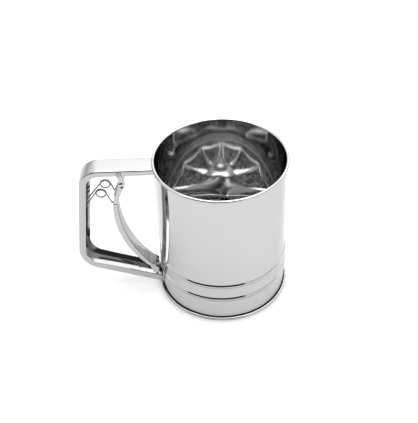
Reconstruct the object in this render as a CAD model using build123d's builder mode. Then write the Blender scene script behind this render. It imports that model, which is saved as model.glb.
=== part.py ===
from build123d import *
from math import asin, atan2, cos, degrees, radians, sin, sqrt
import os

# Hand-squeezed flour sifter.  Millimetres, +Z up.  The origin is on the cup's axis
# at the level of the surface it stands on, and the handle points along -X.

os.makedirs("parts", exist_ok=True)

# ---- driving dimensions ----------------------------------------------------------
CUP_R = 50.0              # outside of the cup's straight wall
CUP_H = 123.0             # base to the top of the rim
SHEET = 0.5               # cup wall
ROLL_R = 1.2              # rolled edge at the rim and at the base
ROLL_HOLLOW = 0.7
BEAD_LEVELS = (22.2, 35.8)    # two pressed beads round the cup
BEAD_HALF = 2.25
BEAD_OUT = 1.0
SEAM_W = 5.0              # lap of the wall's side seam, under the handle
SEAM_OUT = 0.4            # how far the lap stands out of the wall
SEAM_ENDS = (2.6, 120.2)
SEAM_GAP = 0.45           # butt gap of the seam in the rim roll

SCREEN_Z = 31.0           # seat of the wire mesh
SCREEN_DOME = 1.6
MESH_T = 0.6
HOOP_IN = 46.4            # bore of the hoops that hold the mesh
HOOP_OUT = 49.4

SHAFT_R = 2.5
RUN_FIT = 0.05            # radial clearance of every running fit
SHAFT_LOW = 13.3
WHEEL_Z = 34.2            # underside of the agitator wheel
WHEEL_TIP_R = 40.3
WHEEL_ARMS = 6
WHEEL_START = -95.4       # angle of the first arm, degrees
RIB_H = 1.9
RIM_W = 2.6

STRAP_Z = 23.0            # top of the support strap below the mesh
STRAP_W = 14.0
STRAP_T = 1.2

PIVOT_X = -76.3           # trigger pivot in the handle's upper arm
PIVOT_Z = 116.7
PIVOT_R = 1.1
PIN_HEAD_R = 2.1
PIN_HEAD_T = 0.8
PIVOT_WASHER_R = 1.9
PIVOT_WASHER_T = 0.9
SQUEEZE = 7.0             # full travel of the trigger, degrees

ROD_R = 1.1
EYELET_SHEET = 1.0        # how much wider the eyelet's barrel is than the rod
EYELET_FLANGE_R = 3.3
EYELET_FLANGE_T = 0.6
ROD_Z = 15.2
HOOK_X = -54.8
HOOK_TIP_Z = 3.4
HOOK_FIT = 0.35           # play of the hook in the trigger's foot

CRANK_R = 12.0            # throw of the crank under the strap
PIN_R = 1.5
EYE_PLAY = 0.45           # play of the crank pin in the rod's eye

HANDLE_W = 16.5
HANDLE_T = 0.8
GRIP_TOP = (-106.0, 119.5)    # where the outer lines of the handle would meet
GRIP_FOOT = (-116.6, 25.5)
GRIP_TOP_R = 15.3
GRIP_FOOT_R = 20.0
ARM_END = (-48.0, 2.3)
INNER_TOP = (-100.6, 114.6)
INNER_FOOT = (-111.1, 27.3)
INNER_TOP_R = 8.5
INNER_FOOT_R = 14.5

TRIGGER_T = 0.7
TRIGGER_TOP_HALF = 6.25
TRIGGER_FOOT_HALF = 7.0
TAB_LOW = 12.6            # foot tab that the link rod hooks into
TAB_TOP = 13.4
EAR_R = 1.7               # pivot ears
WEB_ARC = (10.7, 81.6, 90.4)      # centre x, centre z and radius of the trigger's web
EDGE_ARC = (-1.5, 78.3, 82.3)     # the same for the free edges of its flanges

# ---- worked out from them --------------------------------------------------------
WALL_IN = CUP_R - SHEET
LAP_R = CUP_R + SEAM_OUT          # the handle is fitted to the wall's lap
EYELET_R = ROD_R + EYELET_SHEET   # barrel of the eyelet that the rod slides in
FOOT_OFFSET = HOOK_X - PIVOT_X
FOOT_DROP = PIVOT_Z - (TAB_LOW + TAB_TOP) / 2
SQUEEZE_RAD = radians(SQUEEZE)
STROKE = FOOT_OFFSET * (1 - cos(SQUEEZE_RAD)) + FOOT_DROP * sin(SQUEEZE_RAD)
CRANK_HALF = degrees(asin(STROKE / 2 / CRANK_R))
PIN_X = STROKE / 2
PIN_Y = -sqrt(CRANK_R**2 - PIN_X**2)

print(f"stroke {STROKE:.3f} mm, link ratio {STROKE / SQUEEZE_RAD / 1000:.5f} m/rad")
print(f"crank turns {2 * CRANK_HALF:.2f} deg, ratio {-2 * CRANK_HALF / SQUEEZE:.4f}")


def point_on(arc, height, side=-1):
    """Point of an arc (centre x, centre z, radius) at a height."""
    centre_x, centre_z, radius = arc
    return (centre_x + side * sqrt(radius**2 - (height - centre_z) ** 2), height)


def ring(label, inner, outer, low, high):
    """A flat ring or bush round the cup's axis."""
    with BuildPart() as made:
        with BuildSketch(Plane.XY.offset(low)):
            Circle(outer)
            Circle(inner, mode=Mode.SUBTRACT)
        extrude(amount=high - low)
    made.part.label = label
    return made


# ---- cup: wall, beads and both rolled edges --------------------------------------
RIM_ROLL_Z = CUP_H - ROLL_R
BASE_ROLL_Z = ROLL_R - 0.15       # the base roll is pressed flat by 0.15 mm
ROLL_X = WALL_IN + ROLL_R

with BuildPart() as cup_body:
    with BuildSketch(Plane.XZ) as wall_section:
        with BuildLine():
            Line((CUP_R, 0), (CUP_R, BEAD_LEVELS[0] - BEAD_HALF))
            for level in BEAD_LEVELS:
                low, top = level - BEAD_HALF, level + BEAD_HALF
                ThreePointArc((CUP_R, low), (CUP_R + BEAD_OUT, level), (CUP_R, top))
            Line((CUP_R, BEAD_LEVELS[0] + BEAD_HALF), (CUP_R, BEAD_LEVELS[1] - BEAD_HALF))
            Line((CUP_R, BEAD_LEVELS[1] + BEAD_HALF), (CUP_R, RIM_ROLL_Z))
            Line((CUP_R, RIM_ROLL_Z), (WALL_IN, RIM_ROLL_Z))
            Line((WALL_IN, RIM_ROLL_Z), (WALL_IN, BEAD_LEVELS[1] + BEAD_HALF))
            for level in BEAD_LEVELS:
                low, top = level - BEAD_HALF, level + BEAD_HALF
                ThreePointArc((WALL_IN, low), (WALL_IN + BEAD_OUT, level), (WALL_IN, top))
            Line((WALL_IN, BEAD_LEVELS[1] - BEAD_HALF), (WALL_IN, BEAD_LEVELS[0] + BEAD_HALF))
            Line((WALL_IN, BEAD_LEVELS[0] - BEAD_HALF), (WALL_IN, 0))
            Line((WALL_IN, 0), (CUP_R, 0))
        make_face()
        for roll_z, towards in ((RIM_ROLL_Z, -1), (BASE_ROLL_Z, 1)):
            with Locations((ROLL_X, roll_z)):
                Circle(ROLL_R)
                Circle(ROLL_HOLLOW, mode=Mode.SUBTRACT)
            with Locations((CUP_R + 0.18, roll_z + towards * 0.9)):
                Rectangle(0.36, 1.2, mode=Mode.SUBTRACT)
        with Locations((ROLL_X, -1)):
            Rectangle(4 * ROLL_R, 2, mode=Mode.SUBTRACT)
    revolve(axis=Axis.Z)
    # the side seam: a lap that stands one sheet proud, and its butt gap in the rim roll
    with BuildSketch(Plane.XY.offset(SEAM_ENDS[0])):
        with Locations((-CUP_R, 0)):
            Rectangle(1.4, SEAM_W)
        Circle(LAP_R, mode=Mode.INTERSECT)
        Circle(WALL_IN + 0.2, mode=Mode.SUBTRACT)
    extrude(amount=SEAM_ENDS[1] - SEAM_ENDS[0])
    with Locations((-ROLL_X - 0.5, 0, RIM_ROLL_Z)):
        Box(2.2, SEAM_GAP, 4, mode=Mode.SUBTRACT)
    # hole for the link rod's eyelet
    with Locations(Plane(origin=(-CUP_R, 0, ROD_Z), z_dir=(1, 0, 0))):
        Hole(EYELET_R, depth=6)
cup_body.part.label = "cup_body"

# ---- screen: a woven disc held between two hoops, with an eyelet at its middle ----
screen_hoop = ring("screen_hoop", HOOP_IN, HOOP_OUT, SCREEN_Z - 1.6, SCREEN_Z)
clamp_hoop = ring("clamp_hoop", HOOP_IN, HOOP_OUT, SCREEN_Z + MESH_T, SCREEN_Z + MESH_T + 1.2)

EYELET_BORE = SHAFT_R + 0.5
EYELET_OUT = 4.0
EYELET_FLANGE = 6.5
FLANGE_T = 0.5
DOME_R = HOOP_IN - 0.4    # the mesh starts to rise here
DOME_MID_R = 26.0         # and has done seven tenths of its rise here
crown = SCREEN_Z + SCREEN_DOME
dome_middle = SCREEN_Z + 0.7 * SCREEN_DOME
with BuildPart() as mesh_screen:
    with BuildSketch(Plane.XZ):
        with BuildLine():
            Line((HOOP_OUT - 0.3, SCREEN_Z), (DOME_R, SCREEN_Z))
            ThreePointArc((DOME_R, SCREEN_Z), (DOME_MID_R, dome_middle), (EYELET_FLANGE, crown))
            Polyline(
                (EYELET_FLANGE, crown), (EYELET_OUT, crown),
                (EYELET_OUT, crown + MESH_T), (EYELET_FLANGE, crown + MESH_T),
            )
            ThreePointArc(
                (EYELET_FLANGE, crown + MESH_T), (DOME_MID_R, dome_middle + MESH_T),
                (DOME_R, SCREEN_Z + MESH_T),
            )
            Line((DOME_R, SCREEN_Z + MESH_T), (HOOP_OUT - 0.3, SCREEN_Z + MESH_T))
            Line((HOOP_OUT - 0.3, SCREEN_Z + MESH_T), (HOOP_OUT - 0.3, SCREEN_Z))
        make_face()
    revolve(axis=Axis.Z)
mesh_screen.part.label = "mesh_screen"

with BuildPart() as screen_eyelet:
    with BuildSketch(Plane.XZ):
        with Locations(((EYELET_BORE + EYELET_OUT) / 2, crown + MESH_T / 2)):
            Rectangle(EYELET_OUT - EYELET_BORE, 1.6)
        for flange_z in (crown - FLANGE_T / 2, crown + MESH_T + FLANGE_T / 2):
            with Locations(((EYELET_BORE + EYELET_FLANGE) / 2, flange_z)):
                Rectangle(EYELET_FLANGE - EYELET_BORE, FLANGE_T)
    revolve(axis=Axis.Z)
screen_eyelet.part.label = "screen_eyelet"

# ---- support strap: a bar across the skirt with its ends turned down the wall -----
STRAP_END = WALL_IN + 0.3         # the strap's corners reach into the lower bead
STRAP_EYE_R = 9.5
STRAP_TURN = 6.0                  # how far its ends are turned down the wall
BUSH_R = 4.2
BUSH_BELOW, BUSH_ABOVE = 2.2, 4.4
with BuildPart() as support_strap:
    with BuildSketch(Plane.XY.offset(STRAP_Z - STRAP_T)):
        Rectangle(STRAP_W, 2 * STRAP_END)
        Circle(STRAP_END, mode=Mode.INTERSECT)
        Circle(STRAP_EYE_R)
        Circle(BUSH_R, mode=Mode.SUBTRACT)
    extrude(amount=STRAP_T)
    with BuildSketch(Plane.XY.offset(STRAP_Z - STRAP_T - STRAP_TURN)):
        Rectangle(STRAP_W, 2 * STRAP_END)
        Circle(WALL_IN - 0.02, mode=Mode.INTERSECT)
        Circle(WALL_IN - STRAP_T, mode=Mode.SUBTRACT)
    extrude(amount=STRAP_TURN + 0.5)
support_strap.part.label = "support_strap"

with BuildPart() as shaft_bush:
    with BuildSketch(Plane.XY.offset(STRAP_Z - STRAP_T - BUSH_BELOW)):
        Circle(BUSH_R)
    extrude(amount=BUSH_BELOW + STRAP_T + BUSH_ABOVE)
    with BuildSketch(Plane.XY.offset(STRAP_Z)):
        Circle(6.5)
    extrude(amount=1.0)
    with BuildSketch(Plane.XY):
        Circle(SHAFT_R + RUN_FIT)
    extrude(amount=2 * STRAP_Z, mode=Mode.SUBTRACT)
shaft_bush.part.label = "shaft_bush"

# ---- agitator: shaft, wheel with its washers and nut, crank below the strap -------
HUB_TOP = WHEEL_Z + 2.6
with BuildPart() as agitator_shaft:
    with BuildSketch(Plane.XY.offset(SHAFT_LOW)):
        Circle(SHAFT_R)
    extrude(amount=HUB_TOP + 1.1 - SHAFT_LOW)
    chamfer(agitator_shaft.edges().filter_by(GeomType.CIRCLE), 0.3)
agitator_shaft.part.label = "agitator_shaft"


def plan_point(radius, angle):
    """Point in plan, from its distance to the cup's axis and its angle in degrees."""
    return (radius * cos(radians(angle)), radius * sin(radians(angle)))


with BuildPart() as agitator_wheel:
    with BuildSketch(Plane.XZ):
        with BuildLine():
            Polyline(
                (SHAFT_R, WHEEL_Z), (12.0, WHEEL_Z), (12.0, WHEEL_Z + 0.8), (8.6, WHEEL_Z + 1.6),
                (6.4, HUB_TOP), (SHAFT_R, HUB_TOP), (SHAFT_R, WHEEL_Z),
            )
        make_face()
    revolve(axis=Axis.Z)
    for arm in range(WHEEL_ARMS):
        turn = WHEEL_START + arm * 360 / WHEEL_ARMS
        outward = (cos(radians(turn)), sin(radians(turn)), 0)
        for radius, width in ((7.5, 7.6), (24.0, 4.2), (WHEEL_TIP_R, 2.6)):
            origin = (*plan_point(radius, turn), WHEEL_Z)
            across = (-outward[1], outward[0], 0)
            with BuildSketch(Plane(origin=origin, z_dir=outward, x_dir=across)):
                with BuildLine():
                    Polyline(
                        (-width / 2, 0), (width / 2, 0), (width / 5, RIB_H), (-width / 5, RIB_H), close=True
                    )
                make_face()
        loft(ruled=True)
        # scalloped rim between this arm's tip and the next one's
        step = 360 / WHEEL_ARMS
        with BuildLine(mode=Mode.PRIVATE):
            scallop = ThreePointArc(
                plan_point(WHEEL_TIP_R - 1.3, turn),
                plan_point(WHEEL_TIP_R - 6.0, turn + step / 2),
                plan_point(WHEEL_TIP_R - 1.3, turn + step),
            )
        with BuildSketch(Plane.XY.offset(WHEEL_Z)):
            SlotArc(scallop, RIM_W)
        extrude(amount=RIB_H - 0.4)
agitator_wheel.part.label = "agitator_wheel"

hub_washer = ring("hub_washer", SHAFT_R, 5.6, HUB_TOP, HUB_TOP + 0.6)
spacer_washer = ring("spacer_washer", SHAFT_R, 5.0, crown + MESH_T + 0.75, WHEEL_Z)

NUT_Z = HUB_TOP + 0.6
DOME_NUT_R = 3.2
with BuildPart() as dome_nut:
    with BuildSketch(Plane.XY.offset(NUT_Z)):
        RegularPolygon(4.0, 6)
        Circle(SHAFT_R, mode=Mode.SUBTRACT)
    extrude(amount=1.1)
    with BuildSketch(Plane.XY.offset(NUT_Z + 0.6)):
        Circle(DOME_NUT_R)
    extrude(amount=2.6)
    fillet(dome_nut.edges().filter_by(GeomType.CIRCLE).sort_by(Axis.Z)[-1], 1.9)
dome_nut.part.label = "dome_nut"

CRANK_Z = 17.2
CRANK_T = 1.6
CRANK_ANGLE = degrees(atan2(PIN_Y, PIN_X))
with BuildPart() as crank_arm:
    with BuildSketch(Plane.XY.offset(CRANK_Z)):
        with Locations((PIN_X / 2, PIN_Y / 2)):
            SlotCenterToCenter(CRANK_R, 7.4, rotation=CRANK_ANGLE)
        Circle(5.0)
        Circle(SHAFT_R, mode=Mode.SUBTRACT)
        with Locations((PIN_X, PIN_Y)):
            Circle(PIN_R, mode=Mode.SUBTRACT)
    extrude(amount=CRANK_T)
crank_arm.part.label = "crank_arm"

with BuildPart() as shaft_nut:
    with BuildSketch(Plane.XY.offset(CRANK_Z - 2.8)):
        RegularPolygon(4.2, 6)
        Circle(SHAFT_R, mode=Mode.SUBTRACT)
    extrude(amount=2.8)
shaft_nut.part.label = "shaft_nut"

PIN_LOW = 12.5
with BuildPart() as crank_pin:
    with BuildSketch(Plane.XY.offset(PIN_LOW)):
        with Locations((PIN_X, PIN_Y)):
            Circle(PIN_R)
    extrude(amount=CRANK_Z + CRANK_T - PIN_LOW)
    chamfer(crank_pin.edges().filter_by(GeomType.CIRCLE).sort_by(Axis.Z)[0], 0.3)
crank_pin.part.label = "crank_pin"

with BuildPart() as pin_clip:
    with BuildSketch(Plane.XY.offset(PIN_LOW + 0.5)):
        with Locations((PIN_X, PIN_Y)):
            Circle(PIN_R + 2.0)
            Circle(PIN_R, mode=Mode.SUBTRACT)
    extrude(amount=0.8)
pin_clip.part.label = "pin_clip"

# ---- link rod: hooked into the trigger's foot, with an eye for the crank pin -------
EYE_Y = (PIN_Y - CRANK_R) / 2
EYE_W = 2 * (PIN_R + EYE_PLAY)
EYE_L = EYE_W + CRANK_R + PIN_Y
with BuildPart() as link_rod:
    with BuildLine():
        rod_route = FilletPolyline(
            (HOOK_X, 0, HOOK_TIP_Z), (HOOK_X, 0, ROD_Z), (-30, 0, ROD_Z),
            (-12, EYE_Y, ROD_Z), (PIN_X - EYE_W / 2 - 1.2, EYE_Y, ROD_Z),
            radius=2.0,
        )
    with BuildSketch(Plane(origin=rod_route @ 0, z_dir=rod_route % 0)):
        Circle(ROD_R)
    sweep()
    with BuildSketch(Plane.XY.offset(ROD_Z - ROD_R)):
        with Locations((PIN_X, EYE_Y)):
            SlotOverall(EYE_L + 4.4, EYE_W + 4.4, rotation=90)
            SlotOverall(EYE_L, EYE_W, rotation=90, mode=Mode.SUBTRACT)
    extrude(amount=2 * ROD_R)
link_rod.part.label = "link_rod"

with BuildPart() as rod_eyelet:
    with BuildSketch(Plane(origin=(-CUP_R - 1.0, 0, ROD_Z), z_dir=(1, 0, 0))):
        Circle(EYELET_R)
    extrude(amount=2.2)
    for flange_x in (-CUP_R - 1.0, -WALL_IN + 0.12):
        with BuildSketch(Plane(origin=(flange_x, 0, ROD_Z), z_dir=(1, 0, 0))):
            Circle(EYELET_FLANGE_R)
        extrude(amount=EYELET_FLANGE_T)
    with Locations(Plane(origin=(-CUP_R - 1.0, 0, ROD_Z), z_dir=(-1, 0, 0))):
        Hole(ROD_R + 0.3)
rod_eyelet.part.label = "rod_eyelet"

# ---- handle: one pressed channel, web outwards, from the rim round to the base -----


def shifted(points, distance):
    """Corners of an open line of straight runs, moved sideways by a distance."""
    runs = []
    for (x0, z0), (x1, z1) in zip(points, points[1:]):
        length = sqrt((x1 - x0) ** 2 + (z1 - z0) ** 2)
        dx, dz = (x1 - x0) / length, (z1 - z0) / length
        runs.append(((x0 - dz * distance, z0 + dx * distance), (dx, dz)))
    corners = [runs[0][0]]
    for ((ax, az), (adx, adz)), ((bx, bz), (bdx, bdz)) in zip(runs, runs[1:]):
        along = ((bx - ax) * bdz - (bz - az) * bdx) / (adx * bdz - adz * bdx)
        corners.append((ax + adx * along, az + adz * along))
    dx, dz = runs[-1][1]
    corners.append((points[-1][0] - dz * distance, points[-1][1] + dx * distance))
    return corners


ARM_X = -48.0             # the arms run past the cup's wall here and are cut to it
outer_points = [(ARM_X, GRIP_TOP[1]), GRIP_TOP, GRIP_FOOT, ARM_END]
inner_points = [(ARM_X, INNER_TOP[1]), INNER_TOP, INNER_FOOT, (ARM_X, 8.0)]
trough_points = shifted(outer_points, HANDLE_T)

with BuildPart() as handle_trough:
    with BuildSketch(Plane.XZ):
        with BuildLine():
            trough = FilletPolyline(*trough_points, radius=[GRIP_TOP_R - HANDLE_T, GRIP_FOOT_R - HANDLE_T])
            Line(trough @ 1, trough @ 0)
        make_face()
    extrude(amount=HANDLE_W / 2 - HANDLE_T, both=True)

EAR_SPREAD = 4.0          # how much wider the ears are than the channel
EAR_LEVELS = ((3.6, 10.5), (113.2, 119.5))
SLOT_W = 5.2              # the hook's tip travels in this slot of the lower arm
SLOT_FROM = HOOK_X - STROKE - 2.0
SLOT_TO = HOOK_X + 2.4
with BuildPart() as handle_channel:
    with BuildSketch(Plane.XZ):
        with BuildLine():
            outer = FilletPolyline(*outer_points, radius=[GRIP_TOP_R, GRIP_FOOT_R])
            inner = FilletPolyline(*inner_points, radius=[INNER_TOP_R, INNER_FOOT_R])
            Line(outer @ 0, inner @ 0)
            Line(outer @ 1, inner @ 1)
        make_face()
    extrude(amount=HANDLE_W / 2, both=True)
    add(handle_trough.part, mode=Mode.SUBTRACT)
    # ears that lie against the wall, spot-welded to it
    for ear_low, ear_top in EAR_LEVELS:
        with BuildSketch(Plane.XY.offset(ear_low)):
            with Locations((-CUP_R, 0)):
                Rectangle(6, HANDLE_W + EAR_SPREAD)
            Circle(LAP_R + HANDLE_T, mode=Mode.INTERSECT)
        extrude(amount=ear_top - ear_low)
    with Locations((0, 0, CUP_H / 2)):
        Cylinder(LAP_R, 2 * CUP_H, mode=Mode.SUBTRACT)
    # windows in the ears, inside the channel: room for the rod, its eyelet and the slot
    with Locations((-CUP_R, 0, ROD_Z)):
        Box(8, 9, 2 * ROD_Z - 6, mode=Mode.SUBTRACT)
    with BuildSketch(Plane.XY):
        with Locations(((SLOT_FROM + SLOT_TO) / 2, 0)):
            SlotOverall(SLOT_TO - SLOT_FROM, SLOT_W)
    extrude(amount=20, mode=Mode.SUBTRACT)
    with Locations(Plane(origin=(PIVOT_X, 0, PIVOT_Z), z_dir=(0, 1, 0))):
        Hole(PIVOT_R)
handle_channel.part.label = "handle_channel"

# ---- trigger: a curved channel with two pivot ears and a foot tab -----------------
EARS_FROM = 99.0          # the web stops here, and only the ears go on to the pivot
WINDOW_TOP = 19.4         # below this the web is open, so that the rod clears it when squeezed
FOOT_FRONT = -52.5
FOOT_BACK = -57.0


def front_outline(inset):
    """Half-widths of the trigger seen from the front, as (y, z) corners."""
    top, foot = TRIGGER_TOP_HALF - inset, TRIGGER_FOOT_HALF - inset
    far_side = [(foot, 10), (foot, 20), (top, 70), (top, 120)]
    return [(-y, z) for y, z in reversed(far_side)] + far_side


web_head = point_on(WEB_ARC, 90)
web_foot = point_on(WEB_ARC, 17)
web_middle = point_on(WEB_ARC, 55)
edge_head = point_on(EDGE_ARC, 92)
edge_middle = point_on(EDGE_ARC, 55)
edge_foot = point_on(EDGE_ARC, 19.6)

with BuildPart() as trigger_trough:
    with BuildSketch(Plane.XZ):
        Rectangle(200, 300)
        with Locations(WEB_ARC[:2]):
            Circle(WEB_ARC[2] + TRIGGER_T, mode=Mode.SUBTRACT)
        with Locations((-75, EARS_FROM + 20)):
            Rectangle(30, 40)
        with Locations((-55, (TAB_TOP + WINDOW_TOP) / 2)):
            Rectangle(20, WINDOW_TOP - TAB_TOP)
        with Locations((-55, TAB_TOP - 50)):
            Rectangle(60, 100, mode=Mode.SUBTRACT)
    extrude(amount=10, both=True)
    with BuildSketch(Plane.YZ):
        with BuildLine():
            Polyline(*front_outline(TRIGGER_T), close=True)
        make_face()
    extrude(amount=120, both=True, mode=Mode.INTERSECT)

with BuildPart() as trigger_lever:
    with BuildSketch(Plane.XZ):
        with BuildLine():
            Polyline(
                (PIVOT_X + EAR_R, PIVOT_Z), (-74.7, 112.4), (-72.2, 105.4), (-75.2, 99.8), web_head,
            )
            ThreePointArc(web_head, web_middle, web_foot)
            Polyline(
                web_foot, (FOOT_FRONT, TAB_LOW), (FOOT_BACK, TAB_LOW), edge_foot,
            )
            ThreePointArc(edge_foot, edge_middle, edge_head)
            Polyline(
                edge_head, (-80.3, 96.5), (-78.7, 102), (-77.9, 107), (-78.4, 112.4),
                (PIVOT_X - EAR_R, PIVOT_Z), (PIVOT_X + EAR_R, PIVOT_Z),
            )
        make_face()
        with Locations((PIVOT_X, PIVOT_Z)):
            Circle(EAR_R)
    extrude(amount=10, both=True)
    with BuildSketch(Plane.YZ):
        with BuildLine():
            Polyline(*front_outline(0), close=True)
        make_face()
    extrude(amount=120, both=True, mode=Mode.INTERSECT)
    add(trigger_trough.part, mode=Mode.SUBTRACT)
    with BuildSketch(Plane.XY):
        with Locations((HOOK_X, 0)):
            Circle(ROD_R + HOOK_FIT)
    extrude(amount=30, mode=Mode.SUBTRACT)
    with Locations(Plane(origin=(PIVOT_X, 0, PIVOT_Z), z_dir=(0, 1, 0))):
        Hole(PIVOT_R + RUN_FIT)
trigger_lever.part.label = "trigger_lever"

with BuildPart() as trigger_pin:
    with BuildSketch(Plane(origin=(PIVOT_X, 0, PIVOT_Z), z_dir=(0, 1, 0))):
        Circle(PIVOT_R)
    extrude(amount=HANDLE_W / 2 + 0.5, both=True)
    for side in (-1, 1):
        with BuildSketch(Plane(origin=(PIVOT_X, side * HANDLE_W / 2, PIVOT_Z), z_dir=(0, side, 0))):
            Circle(PIN_HEAD_R)
        extrude(amount=PIN_HEAD_T)
    heads = trigger_pin.edges().filter_by(GeomType.CIRCLE).sort_by(Axis.Y)
    chamfer([heads[0], heads[-1]], 0.35)
trigger_pin.part.label = "trigger_pin"

with BuildPart() as pivot_washers:
    for side in (-1, 1):
        face_y = side * (HANDLE_W / 2 - HANDLE_T)
        with BuildSketch(Plane(origin=(PIVOT_X, face_y, PIVOT_Z), z_dir=(0, -side, 0))):
            Circle(PIVOT_WASHER_R)
            Circle(PIVOT_R, mode=Mode.SUBTRACT)
        extrude(amount=PIVOT_WASHER_T)
pivot_washers.part.label = "pivot_washers"

# ---- return spring: a double torsion spring between the grip and the trigger ------
COIL_X = -90.2
COIL_Z = 97.2
COIL_R = 3.75
WIRE_R = 0.6
TURN_PITCH = 1.12
COIL_TURNS = (-TURN_PITCH, 0.0, TURN_PITCH)
COIL_Y = 6.0
GRIP_REST = (-109.1, 2.0, 78.0)
GRIP_LEAVE = 147.3        # where the legs leave the turns, degrees
TRIGGER_LEAVE = 14.6
TRIGGER_LEG = 9.3
with BuildPart() as torsion_spring:
    with BuildSketch(Plane(origin=(COIL_X, 0, COIL_Z), x_dir=(0, 1, 0), z_dir=(1, 0, 0))):
        for side in (-1, 1):
            for turn in COIL_TURNS:
                with Locations((side * COIL_Y + turn, COIL_R)):
                    Circle(WIRE_R)
    revolve(axis=Axis((COIL_X, 0, COIL_Z), (0, 1, 0)))
    grip_angle, trigger_angle = radians(GRIP_LEAVE), radians(TRIGGER_LEAVE)
    leave_x = COIL_X + COIL_R * cos(grip_angle)
    leave_z = COIL_Z + COIL_R * sin(grip_angle)
    leave_y = COIL_Y - TURN_PITCH
    with BuildLine():
        bridge = FilletPolyline(
            (leave_x, leave_y, leave_z), GRIP_REST,
            (GRIP_REST[0], -GRIP_REST[1], GRIP_REST[2]), (leave_x, -leave_y, leave_z),
            radius=1.0,
        )
    with BuildSketch(Plane(origin=bridge @ 0, z_dir=bridge % 0)):
        Circle(WIRE_R)
    sweep()
    for side in (-1, 1):
        root = (COIL_X + COIL_R * cos(trigger_angle), side * COIL_Y, COIL_Z + COIL_R * sin(trigger_angle))
        with BuildSketch(Plane(origin=root, z_dir=(sin(trigger_angle), 0, -cos(trigger_angle)))):
            Circle(WIRE_R)
        extrude(amount=TRIGGER_LEG)
torsion_spring.part.label = "torsion_spring"

# ---- write every piece ------------------------------------------------------------
pieces = [
    cup_body, screen_hoop, clamp_hoop, mesh_screen, screen_eyelet, support_strap, shaft_bush,
    agitator_shaft, agitator_wheel, hub_washer, spacer_washer, dome_nut, crank_arm, shaft_nut,
    crank_pin, pin_clip, link_rod, rod_eyelet, handle_channel, trigger_lever, trigger_pin,
    pivot_washers, torsion_spring,
]
for piece in pieces:
    export_step(piece.part, f"parts/{piece.part.label}.step")
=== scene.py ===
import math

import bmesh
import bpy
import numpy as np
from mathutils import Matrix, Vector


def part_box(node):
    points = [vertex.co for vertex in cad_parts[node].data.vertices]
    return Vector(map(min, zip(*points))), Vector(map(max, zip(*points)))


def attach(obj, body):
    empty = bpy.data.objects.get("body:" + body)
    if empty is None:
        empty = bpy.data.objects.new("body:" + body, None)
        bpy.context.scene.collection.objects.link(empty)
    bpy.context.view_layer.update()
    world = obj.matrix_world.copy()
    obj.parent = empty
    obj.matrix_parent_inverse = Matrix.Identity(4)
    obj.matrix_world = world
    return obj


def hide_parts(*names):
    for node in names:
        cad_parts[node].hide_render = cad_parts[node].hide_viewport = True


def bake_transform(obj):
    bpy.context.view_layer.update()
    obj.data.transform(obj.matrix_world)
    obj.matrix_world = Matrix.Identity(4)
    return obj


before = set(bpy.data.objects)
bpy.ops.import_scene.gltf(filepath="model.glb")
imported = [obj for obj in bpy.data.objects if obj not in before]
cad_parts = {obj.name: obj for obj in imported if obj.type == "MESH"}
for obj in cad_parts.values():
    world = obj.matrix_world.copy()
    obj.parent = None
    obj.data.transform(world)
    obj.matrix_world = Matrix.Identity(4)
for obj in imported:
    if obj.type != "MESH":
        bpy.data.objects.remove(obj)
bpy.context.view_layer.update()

# %% [markdown]
# # A hand-squeezed flour sifter
# The sifter is a polished steel cup with a wire mesh near its bottom. Squeezing a
# trigger in the handle slides a rod, the rod turns a crank, and the crank turns a
# scalloped wheel that rubs flour through the mesh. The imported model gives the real
# sizes and the moving bodies. This lesson gives each visible piece its true surface:
# rolled edges, pressed beads, woven wire and polished steel.

MM = 0.001

# %% [markdown]
# ## Mesh helpers
# Most of the pieces are a cross-section carried along a path: round an axis for the
# cup, along the handle's line for the channel, along a wire for the spring. One
# function joins rows of points into faces, so that each piece only has to say where
# its rows of points lie. Lengths are written in millimetres and turned into metres
# in one place.


# %% Rows of points become a surface
def smooth_by_angle(mesh, degrees):
    """Shades a mesh smooth and keeps the edges sharp that fold more than an angle."""
    mesh.shade_smooth()
    mesh.set_sharp_from_angle(angle=math.radians(degrees))


def piece(name, rows, body, finish, closed_rows=True, closed_path=False, caps=True, crease=35):
    """Makes one piece from a list of skins, each a list of rows of points in mm."""
    vertices, faces = [], []
    for skin in rows:
        first = len(vertices)
        width = len(skin[0])
        for row in skin:
            vertices.extend(tuple(c * MM for c in point) for point in row)
        across = width if closed_rows else width - 1
        along = len(skin) if closed_path else len(skin) - 1
        for i in range(along):
            here, there = first + i * width, first + (i + 1) % len(skin) * width
            for j in range(across):
                k = (j + 1) % width
                faces.append((here + j, here + k, there + k, there + j))
        if caps and closed_rows and not closed_path:
            last = first + (len(skin) - 1) * width
            faces.append(tuple(range(first + width - 1, first - 1, -1)))
            faces.append(tuple(range(last, last + width)))
    mesh = bpy.data.meshes.new(name)
    mesh.from_pydata(vertices, [], faces)
    mesh.validate()
    tidy_normals(mesh)
    smooth_by_angle(mesh, crease)
    made = bpy.data.objects.new(name, mesh)
    bpy.context.scene.collection.objects.link(made)
    mesh.materials.append(finish)
    if body is not None:
        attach(made, body)
    print(f"{name}: {len(mesh.vertices)} points, {len(mesh.polygons)} faces")
    return made


def tidy_normals(mesh):
    """Turns every face of a closed mesh outwards."""
    work = bmesh.new()
    work.from_mesh(mesh)
    bmesh.ops.recalc_face_normals(work, faces=work.faces)
    work.to_mesh(mesh)
    work.free()


# %% [markdown]
# ## Turning and tubing
# A lathe turns a section round the cup's axis, and a tube carries a circle along a
# line of points. The tube keeps its circle from twisting by turning it just enough,
# from point to point, to follow the wire.


# %% Lathe and tube
def turned(section, steps, start=0.0, sweep=360.0):
    """Rows of a section (radius, height) turned about the cup's axis."""
    count = steps if sweep == 360.0 else steps + 1
    rows = []
    for i in range(count):
        angle = math.radians(start + sweep * i / steps)
        rows.append([(r * math.cos(angle), r * math.sin(angle), z) for r, z in section])
    return rows


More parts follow.
